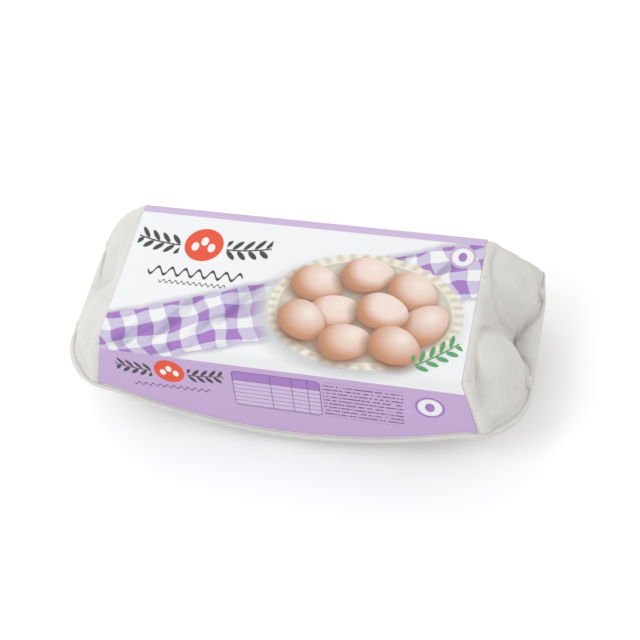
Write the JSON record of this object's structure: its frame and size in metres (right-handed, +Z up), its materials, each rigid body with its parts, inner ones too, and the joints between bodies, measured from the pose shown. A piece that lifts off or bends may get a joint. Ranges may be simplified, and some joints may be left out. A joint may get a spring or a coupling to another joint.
{
  "type": "egg carton",
  "caption": "Shut moulded pulp egg carton in two rows of five cells, with round lid ends, a curved closing edge and a printed paper label folded over the lid",
  "frame": {"origin": "under the middle of the carton, on the surface that its feet stand on", "axes": "+X along the length, to the right as seen from the front; +Y from the front closing edge towards the hinge; +Z up"},
  "size_m": [0.261, 0.1134, 0.07],
  "materials": {
    "lid": "rough moulded pulp, pale warm grey",
    "tray": "rough moulded pulp, pale warm grey",
    "label": "thin printed paper, semi matt, white with lilac bands"
  },
  "bodies": {
    "root": {"lid": "lid", "tray": "tray", "label": "label"}
  },
  "joints": []
}
